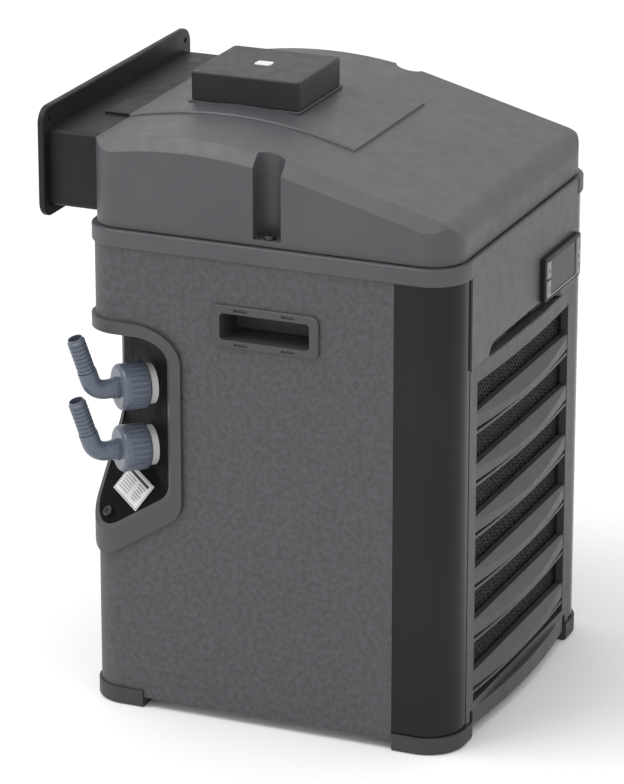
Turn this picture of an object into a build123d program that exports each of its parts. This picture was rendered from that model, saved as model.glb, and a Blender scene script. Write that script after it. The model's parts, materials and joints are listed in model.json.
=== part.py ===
"""Compact cabinet heat pump (aquarium and spa size), as an assembly of separate sub-parts.

Millimetres, +Z up. The intake grille faces -Y, the exhaust duct faces +Y, and the hose
connections leave the rear corner on the -X side. The origin is on the floor, under the
middle of the casing. Each sub-part is written to parts/NODE.step.
"""
from build123d import *
from math import asin, cos, degrees, radians, sin, sqrt, tan
import os

# ---- driving dimensions -------------------------------------------------------------
WIDTH = 276.0            # casing, outside of the two side panels
LENGTH = 280.0           # casing, front columns to rear panel
FRONT_RADIUS = 27.0      # vertical corners at the front
REAR_RADIUS = 24.0       # vertical corners at the rear
SHEET = 1.5              # steel side and rear panels
TRIM = 2.2               # moulded corner columns
PROUD = 2.0              # feet and rim stand this far outside the panels

PANEL_BOTTOM = 7.5
FOOT_TOP = 13.0
RIM_BOTTOM = 348.0
RIM_TOP = 361.0

COLUMN_REAR_Y = -96.0    # column to side panel joint
FRONT_HALF = 107.0       # half width of the front opening between the columns
REAR_HALF = 100.0        # side panels wrap the rear corners up to here
PAN_INSET = 4.8          # base pan inside the skins
SEAM = 0.3               # gap at a butt joint between two skins

LID_INSET = 2.0          # lid wall inside the panel plane
LID_WALL = 2.6
LID_BOTTOM = 361.7
LID_SLOPE = radians(14.7)
LID_BREAK = (-20.0, 419.6)   # (y, z) where the straight front slope meets the crown arc
LID_CROWN = 323.0
LID_ROLL = 17.0
LID_CHAMFER = 9.0
PLATEAU_HALF = 66.0
PLATEAU_FRONT = -37.0
PLATEAU_RISE = 1.8

NOTCH_HALF = 10.5
NOTCH_FLOOR = 366.0
NOTCH_REACH = 6.0

DUCT_HALF = 116.0
DUCT_BOTTOM = 365.0
DUCT_TOP = 421.0
FLANGE_HALF = 125.0
FLANGE_BOTTOM = 357.0
FLANGE_TOP = 438.0
FLANGE_Y = (176.0, 181.0)

HANDLE_Y = 0.5
HANDLE_Z = 301.0
HANDLE_SIZE = (82.0, 31.0)
HANDLE_MOUTH = (68.0, 19.5)
HANDLE_DEPTH = 30.0

RECESS_SUM = 214.0       # the diagonal wall of the hose recess is the plane y - x = this
RECESS_TOP = 284.2
RECESS_CORNER_Z = 126.5  # the sloping floor meets the casing corner here
RECESS_SIDE_SLOPE = 17.5 / 27.3
RECESS_REAR_SLOPE = 46.0 / 40.0
RECESS_WALL = 2.2

LABEL_SIZE = (35.0, 22.0)
LABEL_TURN = -57.0

PORT_CENTRE = (-115.5, 98.5)
PORT_HEIGHTS = {"outlet": 242.0, "inlet": 195.5}
NUT_RADIUS = 17.0
TUBE_RADIUS = 7.0
BORE_RADIUS = 4.8
BARB_RADIUS = 6.5
BARB_ROOT = 5.8
ELBOW_REACH = 44.0
ELBOW_LEAN = radians(18.0)
TAIL_LENGTH = 43.0

GRILLE_HALF = 93.0
GRILLE_TOP = 280.0
GRILLE_BOTTOM = 8.5
SLAT_COUNT = 6
SLAT_PITCH = 39.33
FIRST_SLAT_Z = 235.8
BOW = 6.0

THERMOSTAT = (28.0, 103.0, 289.0, 322.0)
THERMOSTAT_FACE = -145.6
FRONT_FACE = -141.5

POD = (-39.0, 39.0, 17.5, 101.5)
POD_TOP = 452.0
POD_BOTTOM = 434.6

FAN_CENTRE = (0.0, 150.0)
FAN_RADIUS = 67.0
COMPRESSOR = (62.0, 62.0, 47.0)
VESSEL = (-42.0, 25.0, 34.0)
INLET_CENTRE = (60.0, 62.0)


# ---- helpers ------------------------------------------------------------------------
def block(x0, x1, y0, y1, z0, z1):
    middle = Pos((x0 + x1) / 2, (y0 + y1) / 2, (z0 + z1) / 2)
    return middle * Box(x1 - x0, y1 - y0, z1 - z0)


def rod(centre, radius, z0, z1):
    """Upright cylinder."""
    return Pos(centre[0], centre[1], (z0 + z1) / 2) * Cylinder(radius, z1 - z0)


def rod_y(x, z, radius, y0, y1):
    """Cylinder along Y."""
    return Pos(x, (y0 + y1) / 2, z) * Rot(90, 0, 0) * Cylinder(radius, y1 - y0)


def rod_x(y, z, radius, x0, x1):
    """Cylinder along X."""
    return Pos((x0 + x1) / 2, y, z) * Rot(0, 90, 0) * Cylinder(radius, x1 - x0)


def slab_y(width, height, radius, x, z, y0, y1):
    """Rounded rectangle in the XZ plane, from y0 to y1."""
    face = Plane.XZ * Pos(x, z, 0) * RectangleRounded(width, height, radius)
    return Pos(0, y1, 0) * extrude(face, y1 - y0)


def slab_x(width, height, radius, y, z, x0, x1):
    """Rounded rectangle in the YZ plane, from x0 to x1."""
    face = Plane.YZ * Pos(y, z, 0) * RectangleRounded(width, height, radius)
    return Pos(x0, 0, 0) * extrude(face, x1 - x0)


def casing(grow, z0, z1):
    """The casing's plan, grown outwards, as a prism."""
    plan = Rectangle(WIDTH + 2 * grow, LENGTH + 2 * grow)
    plan = fillet(plan.vertices().sort_by(Axis.Y)[:2], FRONT_RADIUS + grow)
    plan = fillet(plan.vertices().sort_by(Axis.Y)[-2:], REAR_RADIUS + grow)
    return Pos(0, 0, z0) * extrude(plan, z1 - z0)


def shell(outer, inner, z0, z1):
    return casing(outer, z0, z1) - casing(inner, z0 - 1, z1 + 1)


def soften(solid, axis, ends, radius):
    """Rounds the outline edges of the lowest (0) or highest (-1) face along an axis."""
    for end in ends:
        solid = fillet(solid.edges().group_by(axis)[end], radius)
    return solid


def save(name, shape):
    export_step(shape if isinstance(shape, Compound) else Compound(shape.solids()),
                os.path.join("parts", name + ".step"))


def mirror_x(shape):
    return mirror(shape, Plane.YZ)


# ---- casing -------------------------------------------------------------------------
def base_pan():
    pan = casing(-PAN_INSET, 9.0, 22.0) - casing(-PAN_INSET - SHEET, 10.6, 30.0)
    pan = pan - block(-150, 150, -150, -126, 0, 30)
    pan = pan + block(-126, 126, -126, -124.5, 9.0, 22.0)
    for x in (-70, 0, 70):
        pan = pan - rod((x, 118), 4.0, 0, 30)
    return pan


def foot(side, end):
    """Corner foot: a block under the corner with a lip round the outside of the skins."""
    y0, y1 = (-150.0, -96.4) if end < 0 else (98.0, 150.0)
    corner = block(98, 150, y0, y1, -1, 20)
    body = casing(PROUD, 0, PANEL_BOTTOM - 0.1)
    body = fillet(body.edges().group_by(Axis.Z)[0], 2.5)
    lip_bottom = PANEL_BOTTOM - 0.1
    if end < 0:
        lip = shell(PROUD, 0.05, lip_bottom, FOOT_TOP)
        sole = casing(0.05, lip_bottom, FOOT_TOP - 0.1) - casing(-TRIM - 2, lip_bottom - 1, 20)
        body = body + lip + (sole - block(90, 150, -110, 0, 0, 20)) + casing(-TRIM - 2, 7, 8.9)
    else:
        body = body + shell(PROUD, 0.05, lip_bottom, FOOT_TOP) + casing(-SHEET - 0.5, 7, 8.9)
    body = body & corner
    return body if side > 0 else mirror_x(body)


def handle_hole(side):
    width, height = HANDLE_MOUTH
    x0, x1 = (-145, -130) if side < 0 else (130, 145)
    return slab_x(width + 5, height + 5, 5, HANDLE_Y, HANDLE_Z, x0, x1)


def side_panel(side):
    """Steel skin: the flat side and the rear corner up to the rear panel."""
    skin = shell(0, -SHEET, PANEL_BOTTOM, RIM_BOTTOM)
    keep = block(0, 150, COLUMN_REAR_Y + SEAM, 150, 0, 400)
    keep = keep - block(0, REAR_HALF + SEAM, 100, 150, 0, 400)
    skin = skin & keep
    if side < 0:
        skin = mirror_x(skin) - recess(RECESS_WALL + 0.2)
    return skin - handle_hole(side)


def rear_panel():
    skin = shell(0, -SHEET, PANEL_BOTTOM, RIM_BOTTOM)
    skin = skin & block(-REAR_HALF, REAR_HALF, 120, 150, 0, 400)
    skin = skin - recess(RECESS_WALL + 0.2)
    skin = skin - block(INLET_CENTRE[0] - 14, INLET_CENTRE[0] + 14, 130, 150,
                        INLET_CENTRE[1] - 10.5, INLET_CENTRE[1] + 10.5)
    for row in range(7):
        skin = skin - slab_y(84, 4, 1.9, 38, 200 + 12 * row, 130, 150)
    return skin


def column(side):
    """Gloss trim round a front corner, with a return behind the front frame."""
    skin = shell(0, -TRIM, FOOT_TOP, RIM_BOTTOM)
    skin = skin & block(FRONT_HALF + SEAM, 150, -150, COLUMN_REAR_Y, 0, 400)
    inner = -TRIM - 0.05
    post = shell(inner, inner - 2.0, FOOT_TOP, RIM_BOTTOM)
    post = post & block(FRONT_HALF + SEAM, 150, -150, COLUMN_REAR_Y + 8, 0, 400)
    inner_x = WIDTH / 2 + inner
    post = post - block(inner_x - 4, 150, COLUMN_REAR_Y - 1, COLUMN_REAR_Y + 20, 0, 400)
    skin = skin + post + shell(-0.9, inner - 1, FOOT_TOP, RIM_BOTTOM).intersect(
        block(FRONT_HALF + SEAM, FRONT_HALF + 6, -150, -120, 0, 400))
    return skin if side > 0 else mirror_x(skin)


def rim_collar():
    """Band under the lid that holds the tops of the skins; the front face is cut back."""
    band = soften(casing(PROUD, RIM_BOTTOM, RIM_TOP), Axis.Z, (0, -1), 1.6)
    band = band - casing(-6.0, RIM_BOTTOM - 1, RIM_TOP + 1)
    band = band - block(-FRONT_HALF - SEAM, FRONT_HALF + SEAM, -150, -137.2, 300, 400)
    inner = shell(-SHEET - 2.6, -6.0, RIM_BOTTOM - 12, RIM_BOTTOM)
    inner = inner & block(-150, 150, COLUMN_REAR_Y + 12, 150, 0, 400)
    band = band + inner
    for side in (-1, 1):
        band = band + rod((side * 130.5, 0), 6, RIM_BOTTOM, RIM_TOP)
        band = band - rod((side * 130.5, 0), 2.1, RIM_BOTTOM - 5, RIM_TOP + 5)
    return band


def front_panel():
    """Upper front panel: carries the thermostat, with a finger scoop over the grille."""
    x0, x1, z0, z1 = THERMOSTAT
    panel = block(-FRONT_HALF, FRONT_HALF, FRONT_FACE, FRONT_FACE + 3, GRILLE_TOP + 0.8, RIM_TOP)
    top = panel.edges().filter_by(Axis.X).sort_by(Axis.Z)[-2:].sort_by(Axis.Y)[0]
    panel = fillet(top, 1.4)
    panel = panel + block(-FRONT_HALF, FRONT_HALF, FRONT_FACE + 3, -121, GRILLE_TOP + 0.8,
                          GRILLE_TOP + 2.6)
    back = block(-96, 96, FRONT_FACE + 3, FRONT_FACE + 7, GRILLE_TOP + 2.6, 298)
    panel = panel + (back - block(x0, x1, -150, 0, z0 - 2, 340))
    scoop_z, scoop_radius = GRILLE_TOP - 3.0, 15.0
    scoop_y = FRONT_FACE - 8.2
    scoop = rod_x(scoop_y, scoop_z, scoop_radius, -62, 62)
    for x in (-62, 62):
        scoop = scoop + Pos(x, scoop_y, scoop_z) * Sphere(scoop_radius)
    panel = panel - scoop
    panel = panel - block(-26, 26, -150, -133.5, GRILLE_TOP, GRILLE_TOP + 6.5)
    middle = ((x0 + x1) / 2, (z0 + z1) / 2)
    return panel - block(middle[0] - 35.8, middle[0] + 35.8, -150, -100,
                         middle[1] - 14.8, middle[1] + 14.8)


def bow_prism(depth, z0, z1, back):
    """Plan region behind an arc that stands out by depth at the middle of the grille."""
    half = GRILLE_HALF + 0.01
    front = -140.0
    arc = ThreePointArc((-half, front), (0, front - depth), (half, front))
    outline = arc + Line((half, front), (half, back)) + Line((half, back), (-half, back)) \
        + Line((-half, back), (-half, front))
    return Pos(0, 0, z0) * extrude(make_face(outline), z1 - z0)


def slat(z):
    """One louvre: a hood sloping out to a bowed lip, over a thin lower lip."""
    hood = Plane.YZ * Polygon((-134.6, z + 9.5), (-139.2, z + 9.5), (-147.0, z + 0.6),
                              (-147.0, z - 1.6), (-134.6, z - 1.6), align=None)
    hood = extrude(hood, GRILLE_HALF, both=True) & bow_prism(BOW, z - 5, z + 12, -134.6)
    lower = bow_prism(BOW * 0.55, z - 6.6, z - 4.4, -134.6)
    web = block(-GRILLE_HALF, GRILLE_HALF, -137.5, -134.6, z - 4.4, z - 1.6)
    return hood + lower + web


def front_grille():
    """Pull-off intake grille: bowed head and foot bands, two rails and the louvres."""
    half, rail = FRONT_HALF - SEAM, FRONT_HALF - GRILLE_HALF
    body = block(-half, half, -140.4, -134.6, GRILLE_BOTTOM, GRILLE_TOP)
    body = fillet(body.edges().filter_by(Axis.X).sort_by(Axis.Y)[:2], 1.0)
    window_top = GRILLE_TOP - 11.0
    body = body - block(-GRILLE_HALF, GRILLE_HALF, -150, -130, 26, window_top)
    head = bow_prism(3.0, window_top - 1.5, GRILLE_TOP, -134.6)
    body = body + fillet(head.edges().group_by(Axis.Z)[-1].sort_by(Axis.Y)[0], 1.2)
    foot_band = bow_prism(BOW, GRILLE_BOTTOM, 20.5, -134.6)
    body = body + fillet(foot_band.edges().group_by(Axis.Z)[-1].sort_by(Axis.Y)[0], 1.2)
    for index in range(SLAT_COUNT):
        body = body + slat(FIRST_SLAT_Z - index * SLAT_PITCH)
    for side in (-1, 1):
        gap = block(side * (half - 10) - 3, side * (half - 10) + 3, -150, -136, 0, 21)
        shoe = block(side * (half + 3) - 12, side * (half + 3) + 12, -150, -130, 0, FOOT_TOP + 0.4)
        body = body - gap - shoe
    return body


def filter_frame():
    outer = block(-98, 98, -134.2, -130.6, 12, 276)
    inner = block(-GRILLE_HALF, GRILLE_HALF, -140, -120, 18, 270)
    bars = [block(-GRILLE_HALF, GRILLE_HALF, -131.8, -130.6, z - 1, z + 1) for z in (102, 186)]
    return outer - inner + bars[0] + bars[1]


def filter_mesh():
    return block(-GRILLE_HALF + 0.1, GRILLE_HALF - 0.1, -133.6, -132.2, 18.1, 269.9)


# ---- lid ----------------------------------------------------------------------------
def lid_profile(inset, bottom, rise=0.0):
    """The lid's side outline in (y, z): front wall, roll, slope, crown arc, rear wall."""
    front = -LENGTH / 2 + LID_INSET + inset
    rear = LENGTH / 2 - LID_INSET - 1 - inset
    up = rise - inset
    centre_y = LID_BREAK[0] + LID_CROWN * sin(LID_SLOPE)
    centre_z = LID_BREAK[1] - LID_CROWN * cos(LID_SLOPE)
    radius = LID_CROWN + up
    start = (LID_BREAK[0] - up * sin(LID_SLOPE), LID_BREAK[1] + up * cos(LID_SLOPE))
    corner_z = start[1] + (front - start[0]) * tan(LID_SLOPE)
    end = (rear, centre_z + sqrt(radius ** 2 - (rear - centre_y) ** 2))
    middle_y = (start[0] + end[0]) / 2
    middle = (middle_y, centre_z + sqrt(radius ** 2 - (middle_y - centre_y) ** 2))
    lines = Line((front, bottom), (front, corner_z)) + Line((front, corner_z), start)
    lines = lines + ThreePointArc(start, middle, end) + Line(end, (rear, bottom))
    face = make_face(lines + Line((rear, bottom), (front, bottom)))
    corner = face.vertices().sort_by_distance((front, corner_z, 0))[0]
    return fillet(corner, LID_ROLL + up)


def lid_form(inset, bottom):
    """Crowned block with 45 degree shoulders along both sides and round plan corners."""
    half = WIDTH / 2 - LID_INSET - inset
    face = Plane.YZ * lid_profile(inset, bottom)
    body = extrude(face, half, both=True)
    deep = Plane.YZ * lid_profile(inset, bottom - 400)
    reach = 300.0
    shoulder_start = half - LID_CHAMFER + 0.4 * inset
    for side in (-1, 1):
        start = Pos(side * (shoulder_start - reach), 0, reach) * deep
        body = body & extrude(start, 2 * reach * sqrt(2), dir=(side, 0, -1))
    return body & casing(-LID_INSET - inset, bottom - 10, 460)


def notch(side, grow):
    """Upright channel in the lid's side for the fixing screw."""
    floor = NOTCH_FLOOR - grow
    half = NOTCH_HALF + grow
    inner_x = WIDTH / 2 - LID_INSET - NOTCH_REACH
    cut = block(inner_x, 160, -half, half, floor, 460) + rod((inner_x, 0), half, floor, 460)
    return cut if side > 0 else mirror_x(cut)


def lid():
    body = lid_form(0, LID_BOTTOM)
    cavity = lid_form(LID_WALL, LID_BOTTOM - 5)
    for side in (-1, 1):
        cavity = cavity - notch(side, LID_WALL)
    body = body - cavity
    for side in (-1, 1):
        body = body - notch(side, 0)
        body = body - rod((side * 130.5, 0), 2.4, 340, 400)
    rise = extrude(Plane.YZ * lid_profile(0, 300, PLATEAU_RISE), PLATEAU_HALF, both=True)
    rise = rise & block(-100, 100, PLATEAU_FRONT, 160, 395, 460)
    rise = rise - extrude(Plane.YZ * lid_profile(0.8, 300), 150, both=True)
    rim = rise.edges().sort_by(Axis.Z)
    long_edges = [edge for edge in rim if edge.length > 100 and edge.center().Z > 424
                  and abs(abs(edge.center().X) - PLATEAU_HALF) < 0.1]
    top_edges = sorted(long_edges, key=lambda edge: -edge.center().Z)[:2]
    rise = chamfer(top_edges, 1.0)
    body = body + rise
    skirt = shell(-6.5, -8.3, LID_BOTTOM - 5, LID_BOTTOM + 6)
    for side in (-1, 1):
        skirt = skirt - rod((side * 130.5, 0), 9, 340, 400)
    bridge = shell(-LID_INSET - 1, -8.3, LID_BOTTOM, LID_BOTTOM + 2)
    bridge = bridge - notch(-1, 0) - notch(1, 0)
    body = body + skirt + (bridge - rod((130.5, 0), 2.4, 340, 400) - rod((-130.5, 0), 2.4, 340, 400))
    window = slab_y(2 * (DUCT_HALF - 4), DUCT_TOP - DUCT_BOTTOM - 9, 6, 0,
                    (DUCT_TOP + DUCT_BOTTOM) / 2 - 0.5, 120, 150)
    well_x0, well_x1, well_y0, well_y1 = POD
    well = block(well_x0 - 1.2, well_x1 + 1.2, well_y0 - 1.2, well_y1 + 1.2, 429.4, 460)
    socket = block(-20, 20, 40, 80, 415, 440)
    return body - window - well - socket


def lid_screws():
    parts = []
    for x in (-130.5, 130.5):
        head = fillet(rod((x, 0), 4.4, NOTCH_FLOOR, NOTCH_FLOOR + 3).edges().sort_by(Axis.Z)[-1], 1.2)
        slot = block(x - 3, x + 3, -0.5, 0.5, NOTCH_FLOOR + 1.6, NOTCH_FLOOR + 4)
        cross = block(x - 0.5, x + 0.5, -3, 3, NOTCH_FLOOR + 1.6, NOTCH_FLOOR + 4)
        parts.append(head + rod((x, 0), 2.0, 352, NOTCH_FLOOR) - slot - cross)
    return Compound(parts)


# ---- exhaust ------------------------------------------------------------------------
def exhaust_duct():
    middle_z = (DUCT_TOP + DUCT_BOTTOM) / 2
    height = DUCT_TOP - DUCT_BOTTOM
    rear_wall = LENGTH / 2 - LID_INSET - 1
    outer = slab_y(2 * DUCT_HALF, height, 3.5, 0, middle_z, rear_wall, FLANGE_Y[0])
    spigot = slab_y(2 * (DUCT_HALF - 4.2), height - 9.6, 5.8, 0, middle_z - 0.5,
                    rear_wall - 6, rear_wall)
    inner = slab_y(2 * (DUCT_HALF - 6.5), height - 14, 4, 0, middle_z - 0.5, 100, 200)
    hump = block(-64, -26, rear_wall, rear_wall + 20, DUCT_TOP - 1, DUCT_TOP + 2.2)
    hump = fillet(hump.edges().group_by(Axis.Z)[-1], 1.0)
    return outer + spigot + hump - inner


def duct_flange():
    middle_z = (FLANGE_TOP + FLANGE_BOTTOM) / 2
    plate = slab_y(2 * FLANGE_HALF, FLANGE_TOP - FLANGE_BOTTOM, 12, 0, middle_z, *FLANGE_Y)
    plate = soften(plate, Axis.Y, (0, -1), 1.4)
    duct_z = (DUCT_TOP + DUCT_BOTTOM) / 2 - 0.5
    height = DUCT_TOP - DUCT_BOTTOM - 14
    plate = plate - slab_y(2 * (DUCT_HALF - 6.5), height, 4, 0, duct_z, 170, 190)
    for x in (-115, 115):
        for z in (FLANGE_BOTTOM + 9, FLANGE_TOP - 9):
            plate = plate - rod_y(x, z, 2.2, 170, 190)
    return plate


def duct_guard():
    """Finger guard: upright bars in a frame inside the duct mouth."""
    middle_z = (DUCT_TOP + DUCT_BOTTOM) / 2 - 0.5
    height = DUCT_TOP - DUCT_BOTTOM - 14.4
    half = DUCT_HALF - 6.7
    frame = slab_y(2 * half, height, 3.8, 0, middle_z, 160, 163)
    frame = frame - slab_y(2 * half - 6, height - 6, 2, 0, middle_z, 150, 170)
    for index in range(15):
        x = -98 + 14 * index
        frame = frame + block(x - 1, x + 1, 160.4, 162.6, middle_z - height / 2 + 1,
                              middle_z + height / 2 - 1)
    return frame


# ---- handles ------------------------------------------------------------------------
def handle_cup(side):
    """Carrying handle: a bezel on the skin and a cup that turns up behind it."""
    face = WIDTH / 2
    bezel = slab_x(*HANDLE_SIZE, 5, HANDLE_Y, HANDLE_Z, face, face + 2.4)
    bezel = fillet(bezel.edges().group_by(Axis.X)[-1], 1.2)
    width, height = HANDLE_MOUTH
    cup = slab_x(width + 4.4, height + 4.4, 4.6, HANDLE_Y, HANDLE_Z, face - HANDLE_DEPTH, face)
    body = bezel + cup
    body = body - slab_x(width, height, 3, HANDLE_Y, HANDLE_Z, face - HANDLE_DEPTH + 2, 150)
    for y in (-18, 18):
        for z in (HANDLE_Z + 12.6, HANDLE_Z - 12.6):
            body = body - block(face + 1.2, 150, HANDLE_Y + y - 5, HANDLE_Y + y + 5, z - 1, z + 1)
    return body if side > 0 else mirror_x(body)


# ---- hose recess --------------------------------------------------------------------
def recess(grow, top=0.0, sloped=0.0, fillets=(19.0, 5.0)):
    """The corner space in front of the hose unions, grown outwards by grow.

    A diagonal upright wall, a flat ceiling and a floor that slopes down to the corner.
    """
    wall_sum = RECESS_SUM - sqrt(2) * grow
    ceiling = RECESS_TOP + grow + top
    plan = Polygon((-170, wall_sum - 170), (170 - wall_sum, 170), (-170, 170), align=None)
    prism = Pos(0, 0, 60) * extrude(plan, ceiling - 60)
    corner = Vector(-WIDTH / 2, LENGTH / 2, RECESS_CORNER_Z)
    along_side = Vector(0, -1, RECESS_SIDE_SLOPE)
    along_rear = Vector(1, 0, RECESS_REAR_SLOPE)
    normal = along_side.cross(along_rear).normalized()
    if normal.Z < 0:
        normal = normal * -1
    origin = corner - normal * (grow + sloped)
    cutter = Plane(origin=origin, z_dir=normal)
    prism = split(prism, bisect_by=cutter, keep=Keep.TOP)
    on_wall = [edge for edge in prism.edges()
               if all(abs(end.Y - end.X - wall_sum) < 0.01 for end in edge.vertices())]
    upper = [edge for edge in on_wall if abs(edge.center().Z - ceiling) < 0.01]
    lower = [edge for edge in on_wall if edge not in upper
             and abs(edge.tangent_at(0.5).Z) < 0.95]
    prism = fillet(upper, fillets[0] + grow)
    lower_middle = lower[0].center()
    nearest = prism.edges().sort_by_distance(lower_middle)[0]
    return fillet(nearest, fillets[1] + grow)


def recess_tray():
    tray = recess(RECESS_WALL) - recess(0)
    tray = tray & casing(0, 50, 330)
    for name in PORT_HEIGHTS:
        tray = tray - port_frame(name) * (Pos(0, 0, -10) * Cylinder(11.2, 40))
    return tray - recess_screw_place() * Cylinder(1.6, 20)


def recess_bezel():
    """Raised lip on the skins round the mouth of the recess."""
    lip = shell(3.0, 0, 90, 320)
    lip = lip & recess(5.9, top=3.4, sloped=5.0, fillets=(21.0, 24.0))
    return lip - recess(0, fillets=(19.0, 22.0))


def floor_plane(u, v, lift=0.0):
    """A place on the sloping floor: u toward the rear, v up the slope."""
    corner = Vector(-WIDTH / 2, LENGTH / 2, RECESS_CORNER_Z)
    along_side = Vector(0, -1, RECESS_SIDE_SLOPE).normalized()
    along_rear = Vector(1, 0, RECESS_REAR_SLOPE).normalized()
    normal = along_side.cross(along_rear).normalized()
    if normal.Z < 0:
        normal = normal * -1
    origin = corner + along_side * u + along_rear * v + normal * lift
    return Plane(origin=origin, x_dir=along_side, z_dir=normal)


def recess_screw_place():
    return floor_plane(15.0, 13.0)


def recess_screw():
    head = Pos(0, 0, 1.3) * Cylinder(4.0, 2.6)
    head = fillet(head.edges().sort_by(Axis.Z)[-1], 1.0)
    head = head + Pos(0, 0, -4) * Cylinder(1.5, 8)
    head = head - Pos(0, 0, 2.4) * Box(5, 0.9, 1.6) - Pos(0, 0, 2.4) * Box(0.9, 5, 1.6)
    return recess_screw_place() * head


def rating_label():
    return floor_plane(35, 23.5, 0.3) * Rot(0, 0, LABEL_TURN) * Box(*LABEL_SIZE, 0.4)


# ---- hose unions --------------------------------------------------------------------
def port_frame(name):
    """Local z runs out of the recess along the fitting's axis; local x is up."""
    origin = (PORT_CENTRE[0], PORT_CENTRE[1], PORT_HEIGHTS[name])
    return Plane(origin=origin, x_dir=(0, 0, 1), z_dir=(-sqrt(0.5), sqrt(0.5), 0))


def along(radius, s0, s1):
    return Pos(0, 0, (s0 + s1) / 2) * Cylinder(radius, s1 - s0)


def bulkhead(name):
    body = along(14.5, 0.05, 5.0) + along(13.4, 5.0, 14.6) + along(10.9, -18, 0.05)
    body = fillet(body.edges().filter_by(GeomType.CIRCLE).sort_by(Axis.Z)[-1], 0.6)
    thread = [Pos(0, 0, s) * (Cylinder(14, 0.7) - Cylinder(12.9, 0.7)) for s in (6.6, 8.4, 10.2, 12)]
    for groove in thread:
        body = body - groove
    locknut = along(14.4, -9.2, -RECESS_WALL - 0.1) - along(10.9, -12, 0)
    body = body + locknut - along(BORE_RADIUS, -20, 20)
    return port_frame(name) * body


def union_seal(name):
    return port_frame(name) * (along(12.0, 14.7, 15.9) - along(7.5, 14, 17))


def union_nut(name):
    body = along(NUT_RADIUS, 5.6, 26.5)
    body = chamfer(body.edges().filter_by(GeomType.CIRCLE).sort_by(Axis.Z)[0], 1.2)
    body = fillet(body.edges().filter_by(GeomType.CIRCLE).sort_by(Axis.Z)[-1], 3.2)
    for index in range(24):
        angle = radians(15 * index)
        x, y = (NUT_RADIUS + 0.35) * cos(angle), (NUT_RADIUS + 0.35) * sin(angle)
        body = body - Pos(x, y, 12.6) * Cylinder(1.15, 15.5)
    body = body - along(14.0, 5, 21.0) - along(TUBE_RADIUS + 0.9, 20, 30)
    return port_frame(name) * body


def tail_profile():
    """Half outline of the hose tail: root, evenly spaced crest lands and a lead-in."""
    first, pitch, land, count = 17.0, 3.2, 1.7, 8
    points = [(0, 8), (TUBE_RADIUS - 0.6, 8), (BARB_ROOT, 11)]
    for index in range(count):
        s = first + pitch * index
        points += [(BARB_ROOT, s - 0.9), (BARB_RADIUS, s - 0.4), (BARB_RADIUS, s + land - 0.4),
                   (BARB_ROOT, s + land + 0.1)]
    points += [(BARB_ROOT - 0.4, TAIL_LENGTH), (0, TAIL_LENGTH)]
    return points


def elbow(name):
    vertex = (0, 0, ELBOW_REACH)
    tip = (TAIL_LENGTH * cos(ELBOW_LEAN), 0, ELBOW_REACH + TAIL_LENGTH * sin(ELBOW_LEAN))
    short = 16.0 / TAIL_LENGTH
    bend_end = (tip[0] * short, 0, ELBOW_REACH + (tip[2] - ELBOW_REACH) * short)
    path = FilletPolyline((0, 0, 16.4), vertex, bend_end, radius=11.0)
    body = sweep(Plane.XY.offset(16.4) * Circle(TUBE_RADIUS), path=path)
    body = body + (along(12.8, 16.3, 20.4))
    body = body + along(TUBE_RADIUS + 0.5, 20.4, 31.0)
    tail_plane = Plane(origin=vertex, x_dir=(0, 1, 0),
                       z_dir=(cos(ELBOW_LEAN), 0, sin(ELBOW_LEAN)))
    outline = make_face(Polyline(*tail_profile(), close=True))
    tail = revolve(Plane.XZ * outline, Axis.Z)
    body = body + tail_plane * tail
    bore_path = FilletPolyline((0, 0, 12.0), vertex, tip, radius=11.0)
    bore = sweep(Plane.XY.offset(12.0) * Circle(BORE_RADIUS), path=bore_path)
    beyond = tail_plane * Pos(0, 0, TAIL_LENGTH) * Cylinder(BORE_RADIUS, 6)
    return port_frame(name) * (body - bore - beyond)


# ---- refrigeration and air ----------------------------------------------------------
TUBE_ROWS = [44 + 32 * row for row in range(7)]


def condenser_fins():
    plate = block(-0.6, 0.6, -121, -97, 28, 268)
    for z in TUBE_ROWS:
        plate = plate - rod_x(-109, z, 4.7, -5, 5)
    return Compound([Pos(-85 + 5 * index, 0, 0) * plate for index in range(35)])


def condenser_tubes():
    parts = []
    for row, z in enumerate(TUBE_ROWS):
        parts.append(rod_x(-109, z, 4.5, -94, 94))
    body = parts[0]
    for part in parts[1:]:
        body = body + part
    for row in range(len(TUBE_ROWS) - 1):
        side = 1 if row % 2 else -1
        z0, z1 = TUBE_ROWS[row], TUBE_ROWS[row + 1]
        body = body + rod((side * 94, -109), 4.5, z0, z1)
        for z in (z0, z1):
            body = body + Pos(side * 94, -109, z) * Sphere(4.5)
    return body


def fan_shroud():
    x, z = FAN_CENTRE
    plate = block(-100, 100, -94, -92, 24, 272) - rod_y(x, z, FAN_RADIUS + 3, -100, -80)
    ring = rod_y(x, z, FAN_RADIUS + 5.5, -92, -62) - rod_y(x, z, FAN_RADIUS + 3, -100, -50)
    arms = block(-70, 70, -62, -59, z - 5, z + 5) + block(-5, 5, -62, -59, z - 70, z + 70)
    arms = arms & rod_y(x, z, FAN_RADIUS + 5.5, -70, -50)
    return plate + ring + (arms - rod_y(x, z, 12.5, -70, -50))


def fan_motor():
    x, z = FAN_CENTRE
    body = rod_y(x, z, 24, -58.9, -22)
    body = fillet(body.edges().filter_by(GeomType.CIRCLE), 3)
    body = body + rod_y(x, z, 12, -61.9, -58.9) - rod_y(x, z, 3.2, -65, -40)
    return body


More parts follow.
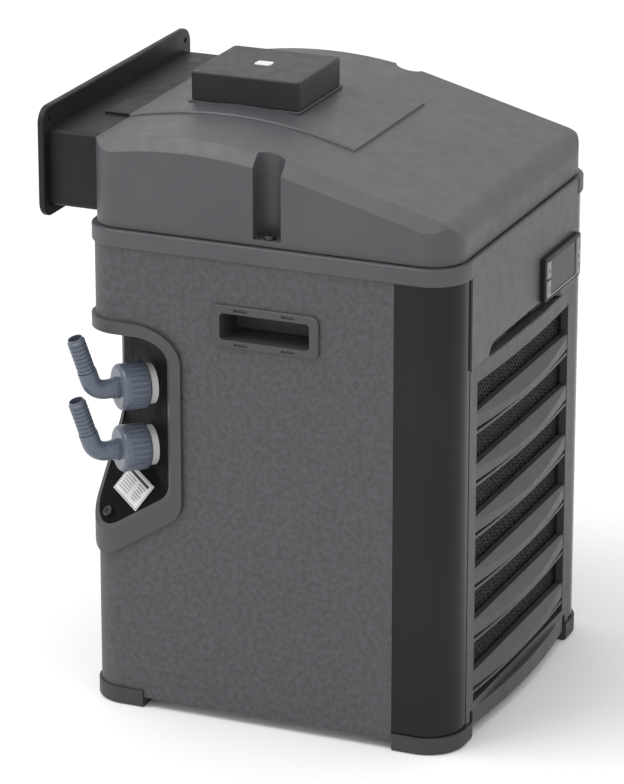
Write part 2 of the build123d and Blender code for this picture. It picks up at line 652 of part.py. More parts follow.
def fan_rotor():
    x, z = FAN_CENTRE
    hub = rod_y(x, z, 18, -88, -66)
    hub = fillet(hub.edges().filter_by(GeomType.CIRCLE).sort_by(Axis.Y)[0], 4)
    blade = Pos(40, 0, 0) * Rot(32, 0, 0) * Box(52, 26, 1.8)
    blade = blade & (Rot(90, 0, 0) * Cylinder(FAN_RADIUS - 2, 24))
    blades = hub
    for index in range(7):
        blades = blades + Pos(x, -77, z) * Rot(0, 360 / 7 * index, 0) * blade
    return blades + rod_y(x, z, 2.9, -68, -42)


def compressor():
    x, y, radius = COMPRESSOR
    body = rod((x, y), radius, 26, 160)
    body = fillet(body.edges().filter_by(GeomType.CIRCLE), 20)
    seam = rod((x, y), radius + 1.5, 92, 96)
    body = body + seam
    for index in range(3):
        angle = radians(90 + 120 * index)
        foot_x, foot_y = x + 50 * cos(angle), y + 50 * sin(angle)
        arm = rod((foot_x, foot_y), 9, 24, 27) + rod((x, y), 43, 24, 27)
        body = body + arm - rod((foot_x, foot_y), 4.2, 20, 30)
    return body + rod((x + 20, y + 10), 5, 150, 168) + rod((x - 24, y), 4, 150, 168)


def compressor_mounts():
    x, y, radius = COMPRESSOR
    parts = []
    for index in range(3):
        angle = radians(90 + 120 * index)
        place = (x + 50 * cos(angle), y + 50 * sin(angle))
        waist = rod(place, 8, 10.6, 24) + rod(place, 4.1, 24, 27) + rod(place, 7, 27, 31)
        parts.append(waist - rod(place, 2.4, 8, 35))
    return Compound(parts)


def exchanger_vessel():
    x, y, radius = VESSEL
    body = rod((x, y), radius, 22, 268)
    body = fillet(body.edges().filter_by(GeomType.CIRCLE), 10)
    inner = fillet(rod((x, y), radius - 3, 25, 265).edges().filter_by(GeomType.CIRCLE), 8)
    body = body - inner + rod((x, y), radius + 2, 236, 244).cut(rod((x, y), radius - 3, 230, 250))
    body = body + rod((x, y), 14, 10.6, 24)
    for name in PORT_HEIGHTS:
        body = body - port_frame(name) * along(7.2, -90, -40)
    return body


def exchanger_coil():
    x, y, radius = VESSEL
    turns = [Pos(x, y, 60 + 16 * index) * Torus(22, 4.2) for index in range(8)]
    riser = rod((x + 22, y), 4.2, 60, 172)
    body = riser
    for turn in turns:
        body = body + turn
    return body


def water_stubs():
    """Short hoses from the bulkhead tails to the exchanger."""
    parts = []
    for name in PORT_HEIGHTS:
        pipe = along(14.0, -62, -12) - along(11.0, -18.2, -5) - along(7.0, -70, -10)
        parts.append(port_frame(name) * pipe - rod(VESSEL[:2], VESSEL[2] + 0.1, 0, 300)
                     - rod(VESSEL[:2], VESSEL[2] + 2.1, 234, 246)
                     - port_frame(name) * along(14.7, -9.4, 0))
    return Compound([solid for part in parts for solid in part.solids()])


def line(points, radius, bend):
    """Round pipe along straight runs joined by tangent arcs."""
    path = FilletPolyline(*points, radius=bend)
    first = Vector(*points[0])
    direction = Vector(*points[1]) - first
    return sweep(Plane(origin=first, z_dir=direction) * Circle(radius), path=path)


def refrigerant_lines():
    x, y, radius = COMPRESSOR
    discharge = line([(x + 20, y + 10, 168), (x + 20, y + 10, 205), (x + 20, -52, 205),
                      (x + 20, -52, 236)], 3.2, 12)
    suction = line([(x - 24, y, 168), (x - 24, y, 228), (20, y, 228), (20, 104, 228),
                    (20, 104, 262)], 4.0, 12)
    liquid = line([(100, -108, 48), (112, -108, 48), (112, -70, 48), (112, -70, 110)], 2.4, 6)
    return Compound([discharge.solid(), suction.solid(), liquid.solid()])


def filter_drier():
    body = rod((112, -70), 9, 110.1, 180)
    body = fillet(body.edges().filter_by(GeomType.CIRCLE), 6)
    return body


def reversing_valve():
    body = rod_x(-52, 248, 12, 56, 110)
    body = fillet(body.edges().filter_by(GeomType.CIRCLE), 4)
    coil = block(70, 92, -66, -40, 236.1, 236.2)
    return body + rod((98, -52), 4, 255, 268) + rod((68, -52), 4, 255, 268) - coil


# ---- electrics ----------------------------------------------------------------------
def control_board():
    board = block(-2, 96, -66, 54, 300, 301.6)
    board = board + block(8, 30, -40, -8, 301.6, 318) + block(40, 58, -30, 14, 301.6, 312)
    board = board + block(66, 88, -50, 30, 301.6, 314)
    for x, y in ((20, 30), (32, 30), (20, 42)):
        board = board + rod((x, y), 4.5, 301.6, 322)
    return board


def board_cover():
    cover = block(-8, 102, -72, 60, 291, 334)
    cover = fillet(cover.edges().filter_by(Axis.Z), 6)
    hollow = fillet(block(-6, 100, -70, 58, 293, 332).edges().filter_by(Axis.Z), 4)
    cover = cover - hollow
    for x in (2, 92):
        for y in (-60, 48):
            cover = cover + rod((x, y), 3.4, 292, 299.9)
    return cover


def thermostat_body():
    x0, x1, z0, z1 = THERMOSTAT
    middle = ((x0 + x1) / 2, (z0 + z1) / 2)
    bezel = slab_y(x1 - x0, z1 - z0, 3.0, *middle, THERMOSTAT_FACE, FRONT_FACE)
    bezel = fillet(bezel.edges().group_by(Axis.Y)[0], 0.9)
    can = block(middle[0] - 35.5, middle[0] + 35.5, FRONT_FACE, -86, middle[1] - 14.5,
                middle[1] + 14.5)
    body = bezel + can
    body = body - slab_y(52.2, 25.2, 1.2, *middle, -150, THERMOSTAT_FACE + 1.4)
    for x, z in KEY_PLACES.values():
        body = body - slab_y(8.0, 13.2, 1.2, x, z, -150, THERMOSTAT_FACE + 3.4)
    return body


def thermostat_window():
    x0, x1, z0, z1 = THERMOSTAT
    return slab_y(52.0, 25.0, 1.1, (x0 + x1) / 2, (z0 + z1) / 2, THERMOSTAT_FACE + 0.2,
                  THERMOSTAT_FACE + 1.4)


KEY_PLACES = {
    "key_set": (THERMOSTAT[0] + 6.2, 298.2),
    "key_up": (THERMOSTAT[0] + 6.2, 312.6),
    "key_down": (THERMOSTAT[1] - 6.2, 298.2),
    "key_power": (THERMOSTAT[1] - 6.2, 312.6),
}


def thermostat_key(name):
    key = slab_y(7.4, 12.6, 1.0, *KEY_PLACES[name], THERMOSTAT_FACE - 0.9, THERMOSTAT_FACE + 2.2)
    return fillet(key.edges().group_by(Axis.Y)[0], 0.5)


def power_inlet():
    """Three-pin appliance inlet, flange on the rear panel."""
    x, z = INLET_CENTRE
    rear = LENGTH / 2
    body = slab_y(50, 24, 4, x, z, rear, rear + 3)
    body = fillet(body.edges().group_by(Axis.Y)[-1], 1.0)
    body = body + block(x - 13.8, x + 13.8, rear - 24, rear, z - 10.2, z + 10.2)
    body = body - slab_y(24.4, 17.0, 3.5, x, z, rear - 16, rear + 5)
    for dx, dz in ((-7, -2), (0, 2.5), (7, -2)):
        body = body + block(x + dx - 1, x + dx + 1, rear - 17, rear - 2, z + dz - 2.5, z + dz + 2.5)
    for dx in (-20, 20):
        body = body - rod_y(x + dx, z, 1.6, rear - 5, rear + 5)
    return body


def rear_screws():
    parts = []
    for x in (-92, 0, 92):
        for z in (22, 338):
            head = rod_y(x, z, 3.6, LENGTH / 2, LENGTH / 2 + 2)
            head = fillet(head.edges().filter_by(GeomType.CIRCLE).sort_by(Axis.Y)[-1], 0.9)
            parts.append(head - block(x - 2.4, x + 2.4, LENGTH / 2 + 1.2, 150, z - 0.4, z + 0.4))
    return Compound(parts)


# ---- control pod --------------------------------------------------------------------
def pod_dock():
    """Shallow seat in the lid that the pod plugs into."""
    x0, x1, y0, y1 = POD
    floor = block(x0 - 1, x1 + 1, y0 - 1, y1 + 1, 429.5, 430.9)
    plug = block(-12, 12, 50, 70, 421, 429.5)
    return floor + plug - block(-8, 8, 54, 66, 424, 440)


def pod_housing():
    x0, x1, y0, y1 = POD
    body = block(x0, x1, y0, y1, POD_BOTTOM - 3.2, POD_TOP)
    body = fillet(body.edges().filter_by(Axis.Z), 3.5)
    body = fillet(body.edges().group_by(Axis.Z)[-1], 1.2)
    hollow = block(x0 + 2.4, x1 - 2.4, y0 + 2.4, y1 - 2.4, 420, POD_TOP - 3)
    hollow = fillet(hollow.edges().filter_by(Axis.Z), 1.5)
    body = body - hollow
    plug = block(-7.6, 7.6, 54.4, 65.6, 424.6, POD_TOP - 3)
    body = body + plug
    pocket = Pos(0, BUTTON_Y, POD_TOP) * extrude(RectangleRounded(10.4, 13.4, 2.6), 4, both=True)
    well = block(-7, 7, BUTTON_Y - 8.5, BUTTON_Y + 8.5, POD_TOP - 6.5, POD_TOP - 2.9)
    return body + well - pocket


BUTTON_Y = 61.0


def pod_button():
    button = Pos(0, BUTTON_Y, POD_TOP - 2.6) * extrude(RectangleRounded(9.6, 12.6, 2.2), 3.3)
    return fillet(button.edges().group_by(Axis.Z)[-1], 0.5)


# ---- write every sub-part -----------------------------------------------------------
def build():
    os.makedirs("parts", exist_ok=True)
    for side, side_name in ((-1, "left"), (1, "right")):
        save(f"foot_front_{side_name}", foot(side, -1))
        save(f"foot_rear_{side_name}", foot(side, 1))
        save(f"{side_name}_side_panel", side_panel(side))
        save(f"{side_name}_column_trim", column(side))
        save(f"{side_name}_handle_cup", handle_cup(side))
    for name in PORT_HEIGHTS:
        save(f"{name}_bulkhead", bulkhead(name))
        save(f"{name}_union_nut", union_nut(name))
        save(f"{name}_elbow", elbow(name))
    save("union_seals", Compound([union_seal(name).solid() for name in PORT_HEIGHTS]))
    for name in KEY_PLACES:
        save(name, thermostat_key(name))
    for make in (base_pan, rear_panel, rim_collar, front_panel, front_grille, filter_frame,
                 filter_mesh, lid, lid_screws, exhaust_duct, duct_flange, duct_guard,
                 recess_tray, recess_bezel, recess_screw, rating_label, condenser_fins,
                 condenser_tubes, fan_shroud, fan_motor, fan_rotor, compressor,
                 compressor_mounts, exchanger_vessel, exchanger_coil, water_stubs,
                 refrigerant_lines, filter_drier, reversing_valve, control_board, board_cover,
                 thermostat_body, thermostat_window, power_inlet, rear_screws, pod_dock,
                 pod_housing, pod_button):
        save(make.__name__, make())


build()
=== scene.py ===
import json
import math

import bmesh
import bpy
from mathutils import Matrix, Vector


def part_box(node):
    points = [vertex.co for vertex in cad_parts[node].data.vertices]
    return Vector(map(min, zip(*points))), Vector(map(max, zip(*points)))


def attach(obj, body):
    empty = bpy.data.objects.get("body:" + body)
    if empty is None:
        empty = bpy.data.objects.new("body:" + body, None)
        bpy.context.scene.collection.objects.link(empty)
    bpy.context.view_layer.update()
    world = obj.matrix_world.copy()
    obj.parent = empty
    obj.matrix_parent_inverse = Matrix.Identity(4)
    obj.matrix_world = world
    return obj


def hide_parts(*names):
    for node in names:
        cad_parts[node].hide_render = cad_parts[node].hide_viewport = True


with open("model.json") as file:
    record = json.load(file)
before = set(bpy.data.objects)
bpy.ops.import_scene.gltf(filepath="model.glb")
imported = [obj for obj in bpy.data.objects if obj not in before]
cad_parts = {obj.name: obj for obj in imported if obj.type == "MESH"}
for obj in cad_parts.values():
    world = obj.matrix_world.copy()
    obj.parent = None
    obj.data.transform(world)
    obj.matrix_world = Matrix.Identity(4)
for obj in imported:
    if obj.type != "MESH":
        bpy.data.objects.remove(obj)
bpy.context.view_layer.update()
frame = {"nodes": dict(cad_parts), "record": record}
NODES = frame["nodes"]
MM = 0.001

# Camera: where it stands, seen from the middle of the object, and how far it looks.
AZIMUTH = math.radians(-66.99)
ELEVATION = math.radians(19.58)
DISTANCE = 3.171
AIM = Vector((-8.6, 20.2, 211.0)) * MM
LENS = 199.7


# ---- shader helpers -------------------------------------------------------------------
def new_material(name):
    """An empty node material with a Principled shader; returns it, its tree and the shader."""
    made = bpy.data.materials.new(name)
    made.use_nodes = True
    shader = made.node_tree.nodes["Principled BSDF"]
    return made, made.node_tree, shader


def noise(tree, coordinates, scale, detail=3.0, stretch=None):
    """A noise texture in object space; scale is in features per metre."""
    texture = tree.nodes.new("ShaderNodeTexNoise")
    texture.inputs["Scale"].default_value = scale
    texture.inputs["Detail"].default_value = detail
    if stretch is None:
        tree.links.new(coordinates, texture.inputs["Vector"])
        return texture.outputs["Fac"]
    mapping = tree.nodes.new("ShaderNodeMapping")
    mapping.inputs["Scale"].default_value = stretch
    tree.links.new(coordinates, mapping.inputs["Vector"])
    tree.links.new(mapping.outputs["Vector"], texture.inputs["Vector"])
    return texture.outputs["Fac"]


def remap(tree, value, low, high, start=0.3, end=0.7):
    """Stretches a value from start..end to low..high."""
    mapped = tree.nodes.new("ShaderNodeMapRange")
    mapped.inputs["From Min"].default_value = start
    mapped.inputs["From Max"].default_value = end
    mapped.inputs["To Min"].default_value = low
    mapped.inputs["To Max"].default_value = high
    tree.links.new(value, mapped.inputs["Value"])
    return mapped.outputs["Result"]


def blend_colours(tree, factor, first, second):
    mixed = tree.nodes.new("ShaderNodeMix")
    mixed.data_type = "RGBA"
    tree.links.new(factor, mixed.inputs["Factor"])
    mixed.inputs["A"].default_value = (*first, 1.0)
    mixed.inputs["B"].default_value = (*second, 1.0)
    return mixed.outputs["Result"]


def bump(tree, height, depth, strength=1.0, below=None):
    """Surface relief; depth is its real height in metres."""
    relief = tree.nodes.new("ShaderNodeBump")
    relief.inputs["Strength"].default_value = strength
    relief.inputs["Distance"].default_value = depth
    tree.links.new(height, relief.inputs["Height"])
    if below is not None:
        tree.links.new(below, relief.inputs["Normal"])
    return relief.outputs["Normal"]


def soft_edges(tree, radius):
    """Normals that round sharp edges by radius."""
    rounded = tree.nodes.new("ShaderNodeBevel")
    rounded.samples = 6
    rounded.inputs["Radius"].default_value = radius
    return rounded.outputs["Normal"]


def moulded(name, dark, light, gloss, grain, depth, edge=0.0, mottle=14.0, stretch=None,
            metal=0.0, coat=0.0, specular=0.5):
    """A solid finish: slow colour drift, uneven gloss, fine grain and softened edges.

    gloss is (lowest, highest) roughness, grain the grain's features per metre.
    """
    made, tree, shader = new_material(name)
    place = tree.nodes.new("ShaderNodeTexCoord").outputs["Object"]
    drift = noise(tree, place, mottle, 2.0)
    tree.links.new(blend_colours(tree, remap(tree, drift, 0, 1), dark, light),
                   shader.inputs["Base Color"])
    wear = noise(tree, place, mottle * 6, 4.0)
    tree.links.new(remap(tree, wear, *gloss), shader.inputs["Roughness"])
    below = soft_edges(tree, edge) if edge else None
    fine = noise(tree, place, grain, 2.0, stretch)
    tree.links.new(bump(tree, fine, depth, below=below), shader.inputs["Normal"])
    shader.inputs["Metallic"].default_value = metal
    shader.inputs["Coat Weight"].default_value = coat
    shader.inputs["Coat Roughness"].default_value = 0.08
    shader.inputs["Specular IOR Level"].default_value = specular
    return made


def textured_paint(name, dark, light, edge):
    """Powder coat on sheet steel: pebbled relief at two sizes, with paler tops: the colour mottle
    follows the coarse relief, so raised tops are painted lighter, a painted highlight.
    """
    made, tree, shader = new_material(name)
    place = tree.nodes.new("ShaderNodeTexCoord").outputs["Object"]
    pebbles = tree.nodes.new("ShaderNodeTexVoronoi")
    pebbles.feature = "SMOOTH_F1"
    pebbles.inputs["Scale"].default_value = 620.0
    tree.links.new(place, pebbles.inputs["Vector"])
    coarse = noise(tree, place, 260.0, 3.0)
    # random tone and painted highlight: the coarse noise that raises the relief also lightens the
    # colour, so the raised tops come out paler
    tree.links.new(blend_colours(tree, remap(tree, coarse, 0, 1, 0.35, 0.65), dark, light),
                   shader.inputs["Base Color"])
    tree.links.new(remap(tree, coarse, 0.5, 0.62), shader.inputs["Roughness"])
    first = bump(tree, coarse, 0.00025, 0.45, soft_edges(tree, edge))
    tree.links.new(bump(tree, pebbles.outputs["Distance"], 0.00012, 0.5, first),
                   shader.inputs["Normal"])
    return made


def brushed(name, dark, light, gloss, stretch):
    """Metal with fine lines along one axis."""
    return moulded(name, dark, light, gloss, 900.0, 0.00003, edge=0.0003, mottle=30.0,
                   stretch=stretch, metal=1.0)


# ---- materials ------------------------------------------------------------------------
LID_DARK, LID_LIGHT = (0.056, 0.058, 0.063), (0.065, 0.067, 0.072)

# One finish for each material slot of the record, and some for prints, darker nodes and the
# painted shade of the recess tray.
PAINTS = {
    "side_paint": textured_paint("side_paint", (0.046, 0.0445, 0.050), (0.072, 0.070, 0.078),
                                 0.0004),
    "lid_plastic": moulded("lid_plastic", LID_DARK, LID_LIGHT, (0.42, 0.52), 2600.0, 0.00002,
                           edge=0.0007),
    "trim_gloss": moulded("trim_gloss", (0.0075, 0.0075, 0.0077), (0.0095, 0.0095, 0.0095),
                          (0.14, 0.20), 260.0, 0.00001, edge=0.0004, specular=0.24),
    "pod_plastic": moulded("pod_plastic", (0.022, 0.023, 0.025), (0.028, 0.029, 0.031),
                           (0.40, 0.50), 2600.0, 0.00002, edge=0.0006, specular=0.3),
    # painted shade: a black far darker and duller than black_plastic, standing for the shade down
    # in the recess
    "recess_painted_shade": moulded("recess_painted_shade", (0.0022, 0.0022, 0.0022), (0.0034, 0.0034, 0.0034),
                            (0.60, 0.75), 1600.0, 0.00003, edge=0.0006, specular=0.08),
    "screw_black": moulded("screw_black", (0.012, 0.012, 0.013), (0.020, 0.020, 0.021),
                           (0.28, 0.40), 900.0, 0.00002, edge=0.0003),
    "grille_plastic": moulded("grille_plastic", (0.045, 0.0465, 0.050), (0.053, 0.0545, 0.058),
                              (0.44, 0.54), 2600.0, 0.00002, edge=0.0004),
    "foot_plastic": moulded("foot_plastic", (0.026, 0.027, 0.028), (0.035, 0.036, 0.038),
                            (0.50, 0.62), 1800.0, 0.00003, edge=0.0005),
    "black_plastic": moulded("black_plastic", (0.009, 0.009, 0.0095), (0.014, 0.014, 0.015),
                             (0.42, 0.54), 2000.0, 0.00002, edge=0.0005, specular=0.25),
    "filter_gauze": moulded("filter_gauze", (0.006, 0.006, 0.006), (0.012, 0.012, 0.012),
                            (0.55, 0.75), 3000.0, 0.00002),
    "union_grey": moulded("union_grey", (0.084, 0.100, 0.134), (0.098, 0.117, 0.155),
                          (0.20, 0.30), 900.0, 0.00002, edge=0.0004),
    "white_plastic": moulded("white_plastic", (0.60, 0.60, 0.58), (0.70, 0.70, 0.69),
                             (0.36, 0.48), 1500.0, 0.00002, edge=0.0003),
    "label_vinyl": moulded("label_vinyl", (0.62, 0.62, 0.60), (0.74, 0.74, 0.73),
                           (0.45, 0.60), 1200.0, 0.00002, mottle=60.0),
    "key_grey": moulded("key_grey", (0.20, 0.20, 0.205), (0.25, 0.25, 0.255),
                        (0.40, 0.52), 2600.0, 0.00001, edge=0.0003),
    "display_window": moulded("display_window", (0.016, 0.016, 0.018), (0.022, 0.022, 0.024),
                              (0.08, 0.16), 400.0, 0.000005, edge=0.0002, specular=0.15),
    "screw_steel": brushed("screw_steel", (0.30, 0.30, 0.31), (0.42, 0.42, 0.43), (0.30, 0.42),
                           (1.0, 1.0, 4.0)),
    "galvanised": brushed("galvanised", (0.34, 0.35, 0.36), (0.50, 0.51, 0.52), (0.42, 0.60),
                          (1.0, 1.0, 1.0)),
    "fin_aluminium": brushed("fin_aluminium", (0.30, 0.30, 0.31), (0.42, 0.42, 0.43),
                             (0.35, 0.50), (1.0, 6.0, 1.0)),
    "copper_pipe": brushed("copper_pipe", (0.55, 0.28, 0.17), (0.75, 0.42, 0.29), (0.22, 0.38),
                           (1.0, 1.0, 1.0)),
    "steel_black": moulded("steel_black", (0.014, 0.014, 0.015), (0.020, 0.020, 0.021),
                           (0.25, 0.36), 700.0, 0.00003, edge=0.0008, coat=0.3),
    "rubber_black": moulded("rubber_black", (0.014, 0.014, 0.014), (0.022, 0.022, 0.021),
                            (0.62, 0.78), 1600.0, 0.00005, edge=0.0004),
    "vessel_plastic": moulded("vessel_plastic", (0.58, 0.58, 0.56), (0.68, 0.68, 0.66),
                              (0.36, 0.48), 900.0, 0.00003, edge=0.0006),
    "titanium": brushed("titanium", (0.36, 0.35, 0.33), (0.48, 0.46, 0.44), (0.28, 0.40),
                        (1.0, 1.0, 1.0)),
    "ink_black": moulded("ink_black", (0.012, 0.012, 0.012), (0.020, 0.020, 0.020),
                         (0.40, 0.50), 1500.0, 0.000005, mottle=90.0),
    "ink_grey": moulded("ink_grey", (0.20, 0.20, 0.20), (0.28, 0.28, 0.28),
                        (0.45, 0.55), 1500.0, 0.000005, mottle=90.0),
    "circuit_board": moulded("circuit_board", (0.010, 0.075, 0.028), (0.016, 0.10, 0.040),
                             (0.30, 0.42), 500.0, 0.00003, edge=0.0002),
}


# Nodes that look darker than the rest of their slot: the pod and the screws are darker parts,
# while the recess tray's far darker black is painted shade of the recess.
DARKER = {"pod_housing": "pod_plastic", "recess_tray": "recess_painted_shade", "lid_screws": "screw_black",
          "recess_screw": "screw_black"}


def dress_nodes():
    """Gives every CAD node the finish of its material slot, or a darker one: its own for the pod
    and screws, painted shade for the recess tray.
    """
    for part in frame["record"]["subparts"]:
        item = NODES[part["node"]]
        item.data.materials.clear()
        item.data.materials.append(PAINTS[DARKER.get(part["node"], part["material_slot"])])


# ---- mesh helpers ---------------------------------------------------------------------
def piece(name, mesh, body, slot, paint=None):
    """A new visible object that rides on a body and wears a slot's finish, or an ink's."""
    item = bpy.data.objects.new(name, mesh)
    bpy.context.scene.collection.objects.link(item)
    mesh.materials.clear()
    mesh.materials.append(paint or PAINTS[slot])
    for polygon in mesh.polygons:
        polygon.use_smooth = False
    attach(item, body)
    return item


def mesh_from(name, build):
    """A mesh made by a function that fills a bmesh."""
    work = bmesh.new()
    build(work)
    bmesh.ops.recalc_face_normals(work, faces=work.faces)
    mesh = bpy.data.meshes.new(name)
    work.to_mesh(mesh)
    work.free()
    return mesh


def add_strand(work, points, wide, thick, across):
    """A bar of rectangular section along points; across is its width direction."""
    rings = []
    for index, point in enumerate(points):
        before = points[max(index - 1, 0)]
        after = points[min(index + 1, len(points) - 1)]
        along = (after - before).normalized()
        side = across.cross(along).normalized() * wide / 2
        up = along.cross(side).normalized() * thick / 2
        rings.append([work.verts.new(point + a * side + b * up)
                      for a, b in ((1, 1), (1, -1), (-1, -1), (-1, 1))])
    for first, second in zip(rings, rings[1:]):
        for corner in range(4):
            following = (corner + 1) % 4
            work.faces.new((first[corner], first[following], second[following], second[corner]))
    work.faces.new(rings[0])
    work.faces.new(reversed(rings[-1]))


def rounded_outline(width, height, radius, steps=6):
    """Corner-rounded rectangle about (0, 0), as a list of (x, y)."""
    points = []
    for turn, (sx, sy) in enumerate(((1, 1), (-1, 1), (-1, -1), (1, -1))):
        for step in range(steps + 1):
            angle = math.pi / 2 * (turn + step / steps)
            points.append((sx * (width / 2 - radius) + radius * math.cos(angle),
                           sy * (height / 2 - radius) + radius * math.sin(angle)))
    return points


def circle_outline(radius, steps=32):
    turn = 2 * math.pi / steps
    return [(radius * math.cos(turn * n), radius * math.sin(turn * n)) for n in range(steps)]


def plate(name, outlines, thickness, place):
    """A thin flat plate: an outline inside another one is a hole, one beside it is an island."""
    curve = bpy.data.curves.new(name, "CURVE")
    curve.dimensions = "2D"
    curve.fill_mode = "BOTH"
    curve.extrude = thickness / 2
    for outline in outlines:
        spline = curve.splines.new("POLY")
        spline.points.add(len(outline) - 1)
        for point, (x, y) in zip(spline.points, outline):
            point.co = (x, y, 0, 1)
        spline.use_cyclic_u = True
    holder = bpy.data.objects.new(name, curve)
    bpy.context.scene.collection.objects.link(holder)
    bpy.context.view_layer.update()
    shaped = holder.evaluated_get(bpy.context.evaluated_depsgraph_get())
    mesh = bpy.data.meshes.new_from_object(shaped)
    bpy.data.objects.remove(holder)
    mesh.transform(place)
    return mesh


def shifted(outline, x, y):
    return [(px + x, py + y) for px, py in outline]


def facing_front(x, y, z):
    """Plate frame on a -Y face: its x is +X, its y is +Z and it looks out along -Y."""
    return Matrix.Translation((x, y, z)) @ Matrix.Rotation(math.pi / 2, 4, "X")


def slab_frame(node):
    """Frame of a thin box-shaped node: middle, long side, short side and outward normal."""
    verts = [vertex.co.copy() for vertex in NODES[node].data.vertices]
    middle = sum(verts, Vector()) / len(verts)
    corners = []
    for vert in verts:
        if all((vert - other).length > 1e-6 for other in corners):
            corners.append(vert)
    origin = corners[0]
    spans = sorted((other - origin for other in corners[1:]), key=lambda span: span.length)
    normal, short = spans[0], spans[1]
    long_side = next(span for span in spans[2:]
                     if abs(span.normalized().dot(short.normalized())) < 1e-3
                     and abs(span.normalized().dot(normal.normalized())) < 1e-3)
    return middle, long_side, short, normal


# ---- intake ---------------------------------------------------------------------------
GAUZE_PITCH = 2.9 * MM
GAUZE_WIRE = 1.05 * MM
GAUZE_THICK = 0.5 * MM
GAUZE_LIFT = 0.32 * MM   # how far a strand goes over or under the middle plane


def filter_weave():
    """Diagonal woven gauze in the filter frame, one zigzag strand over and under each crossing."""
    low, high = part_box("filter_mesh")
    middle_y = (low.y + high.y) / 2
    width, height = high.x - low.x, high.z - low.z

    def build(work):
        for lean in (1, -1):
            count = int((width + height) / (GAUZE_PITCH * math.sqrt(2)))
            for index in range(count):
                offset = (index + 0.5) * GAUZE_PITCH * math.sqrt(2) - height
                points = []
                steps = int(height / (GAUZE_PITCH / math.sqrt(2)))
                for step in range(steps + 1):
                    z = step * height / steps
                    x = offset + z
                    if 0 <= x <= width:
                        over = GAUZE_LIFT if (step + index) % 2 else -GAUZE_LIFT
                        px = low.x + x if lean > 0 else high.x - x
                        points.append(Vector((px, middle_y + lean * over, low.z + z)))
                if len(points) > 2:
                    add_strand(work, points, GAUZE_WIRE, GAUZE_THICK, Vector((0, 1, 0)))

    weave = piece("filter_weave", mesh_from("filter_weave", build), "intake", "filter_gauze")
    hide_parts("filter_mesh")


# ---- thermostat -----------------------------------------------------------------------
PRINT = 0.06 * MM        # how thick printed ink and thin films are


def printed(name, outlines, place, body, slot, ink):
    """A film of ink or foil that lies on a face."""
    return piece(name, plate(name, outlines, PRINT, place), body, slot, PAINTS[ink])


def bar(x, y, width, height):
    """Outline of a bar with rounded ends about (x, y)."""
    return shifted(rounded_outline(width, height, min(width, height) * 0.25, 3), x, y)


def key_icons():
    """Plain dark signs on the four keys: bars, arrows and a ring."""
    half = 1.9 * MM
    signs = {
        "key_set": [bar(0, 1.4 * MM, 3.4 * MM, 0.6 * MM), bar(0, 0, 3.4 * MM, 0.6 * MM),
                    bar(0, -1.4 * MM, 3.4 * MM, 0.6 * MM)],
        "key_up": [[(-half, -half), (half, -half), (0, half)]],
        "key_down": [[(-half, half), (0, -half), (half, half)]],
        "key_power": [circle_outline(2.2 * MM), circle_outline(1.6 * MM)],
    }
    for node, outlines in signs.items():
        low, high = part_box(node)
        place = facing_front((low.x + high.x) / 2, low.y, (low.z + high.z) / 2)
        printed(node + "_sign", outlines, place, node, "key_grey", "ink_black")


def membrane():
    """Light film on the thermostat: a strip under the window and a frame round the right keys."""
    low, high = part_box("thermostat_body")
    face = low.y - 0.02 * MM
    window_low, window_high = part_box("thermostat_window")
    middle_x = (window_low.x + window_high.x) / 2
    strip = bar(0, 0, window_high.x - window_low.x, 1.1 * MM)
    printed("membrane_strip", [strip], facing_front(middle_x, face, window_low.z - 1.2 * MM),
            "casing", "key_grey", "key_grey")
    down_low, down_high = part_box("key_down")
    power_low, power_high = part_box("key_power")
    middle = ((down_low.x + down_high.x) / 2, (down_low.z + power_high.z) / 2)
    outlines = [rounded_outline(9.4 * MM, 28.6 * MM, 1.2 * MM)]
    for low_z, high_z in ((down_low.z, down_high.z), (power_low.z, power_high.z)):
        hole = rounded_outline(8.0 * MM, high_z - low_z + 0.6 * MM, 1.1 * MM)
        outlines.append(shifted(hole, 0, (low_z + high_z) / 2 - middle[1]))
    printed("membrane_keys", outlines, facing_front(middle[0], face, middle[1]), "casing",
            "key_grey", "key_grey")


# ---- printing -------------------------------------------------------------------------
def label_print():
    """A border, a title bar and plain lines in place of the wording."""
    middle, long_side, short, normal = slab_frame("rating_label")
    if normal.z < 0:
        normal = -normal
    x_axis, z_axis = long_side.normalized(), normal.normalized()
    place = Matrix((x_axis, z_axis.cross(x_axis), z_axis)).transposed().to_4x4()
    place.translation = middle + normal / 2 + z_axis * PRINT / 2
    width, height = long_side.length, short.length
    border = [rounded_outline(width - 1.4 * MM, height - 1.4 * MM, 0.8 * MM),
              rounded_outline(width - 2.2 * MM, height - 2.2 * MM, 0.6 * MM)]
    title = bar(0, height / 2 - 3.6 * MM, width - 7 * MM, 2.2 * MM)
    printed("label_border", border + [title], place, "casing", "label_vinyl", "ink_black")
    lines = []
    for row in range(6):
        y = height / 2 - 6.6 * MM - row * 2.15 * MM
        lines.append(bar(-width / 4 + 1 * MM, y, width / 2 - 4 * MM, 0.8 * MM))
        lines.append(bar(width / 4 - 1 * MM, y, width / 2 - (7 + row % 3 * 2) * MM, 0.8 * MM))
    printed("label_lines", lines, place, "casing", "label_vinyl", "ink_grey")


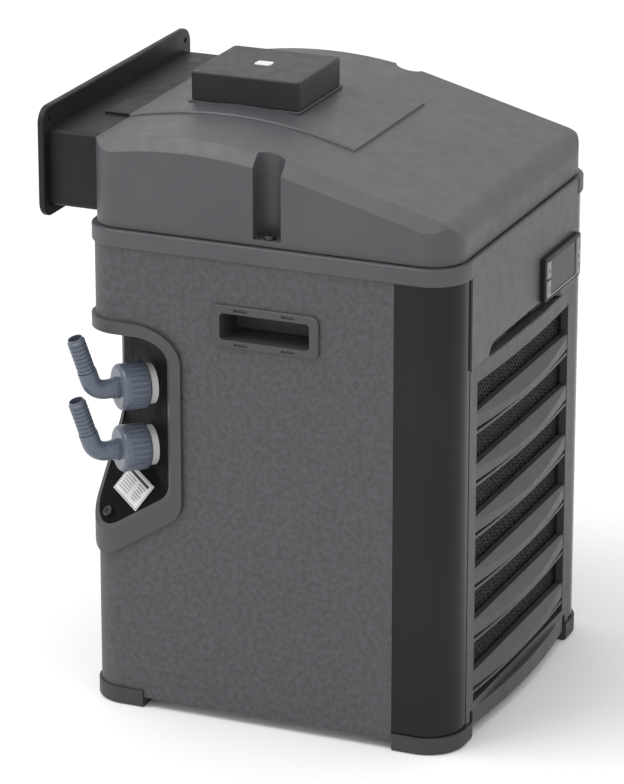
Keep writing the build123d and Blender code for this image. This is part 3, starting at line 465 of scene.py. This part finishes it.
# ---- scene ----------------------------------------------------------------------------
def ground():
    """Pale floor that the object stands on."""
    mesh = bpy.data.meshes.new("floor")
    reach = 14.0
    corners = [(-reach, -reach, 0), (reach, -reach, 0), (reach, reach, 0), (-reach, reach, 0)]
    mesh.from_pydata(corners, [], [(0, 1, 2, 3)])
    floor = bpy.data.objects.new("floor", mesh)
    bpy.context.scene.collection.objects.link(floor)
    made, _, shader = new_material("floor")
    shader.inputs["Base Color"].default_value = (0.93, 0.93, 0.93, 1.0)
    shader.inputs["Roughness"].default_value = 0.9
    shader.inputs["Specular IOR Level"].default_value = 0.1
    mesh.materials.append(made)


def softbox(name, direction, distance, size, power):
    """A square area light in a direction from the object, aimed at it."""
    data = bpy.data.lights.new(name, "AREA")
    data.shape = "SQUARE"
    data.size = size
    data.energy = power
    lamp = bpy.data.objects.new(name, data)
    away = Vector(direction).normalized()
    lamp.location = AIM + away * distance
    lamp.rotation_mode = "QUATERNION"
    lamp.rotation_quaternion = (-away).to_track_quat("-Z", "Y")
    bpy.context.scene.collection.objects.link(lamp)


def lights():
    world = bpy.data.worlds.new("studio")
    world.use_nodes = True
    world.node_tree.nodes["Background"].inputs["Color"].default_value = (1.0, 1.0, 1.0, 1.0)
    world.node_tree.nodes["Background"].inputs["Strength"].default_value = 1.0
    bpy.context.scene.world = world
    softbox("overhead", (-0.335, 0.368, 0.867), 2.4, 1.4, 26.0)


def camera():
    data = bpy.data.cameras.new("camera")
    data.lens = LENS
    data.clip_end = 50.0
    item = bpy.data.objects.new("camera", data)
    level = math.cos(ELEVATION)
    back = Vector((math.sin(AZIMUTH) * level, -math.cos(AZIMUTH) * level, math.sin(ELEVATION)))
    item.location = AIM + back * DISTANCE
    item.rotation_mode = "QUATERNION"
    item.rotation_quaternion = (-back).to_track_quat("-Z", "Y")
    bpy.context.scene.collection.objects.link(item)
    bpy.context.scene.camera = item


bpy.context.scene.view_settings.view_transform = "Standard"
camera()
dress_nodes()
filter_weave()
key_icons()
membrane()
label_print()
ground()
lights()
